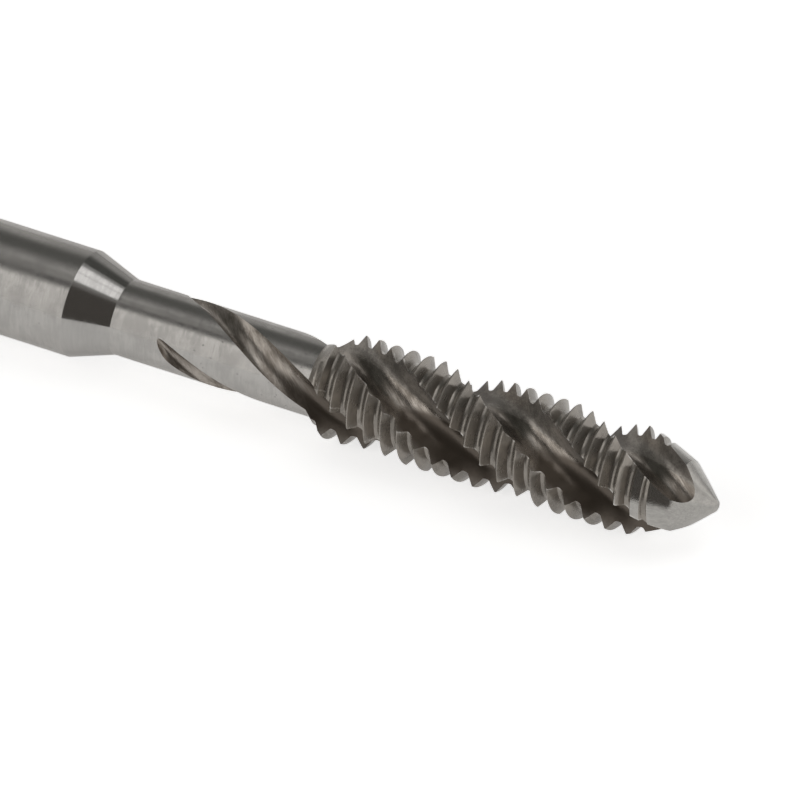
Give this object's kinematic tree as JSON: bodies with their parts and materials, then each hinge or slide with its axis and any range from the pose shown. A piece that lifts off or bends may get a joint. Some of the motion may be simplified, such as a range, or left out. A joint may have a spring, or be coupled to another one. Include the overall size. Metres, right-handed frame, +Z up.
{
  "type": "spiral flute tap",
  "caption": "Spiral flute machine tap with a reduced neck, a tapered lead, a conical point and a square drive end.",
  "frame": {"origin": "under the middle of the tap's length, on the surface it lies on", "axes": "+X along the tap's axis towards its point, +Z up; the axis is 3 mm above the origin"},
  "size_m": [0.08, 0.006, 0.006],
  "materials": {
    "ground_steel": "bare ground high-speed steel"
  },
  "bodies": {
    "root": {"tap": "ground_steel"}
  },
  "joints": []
}
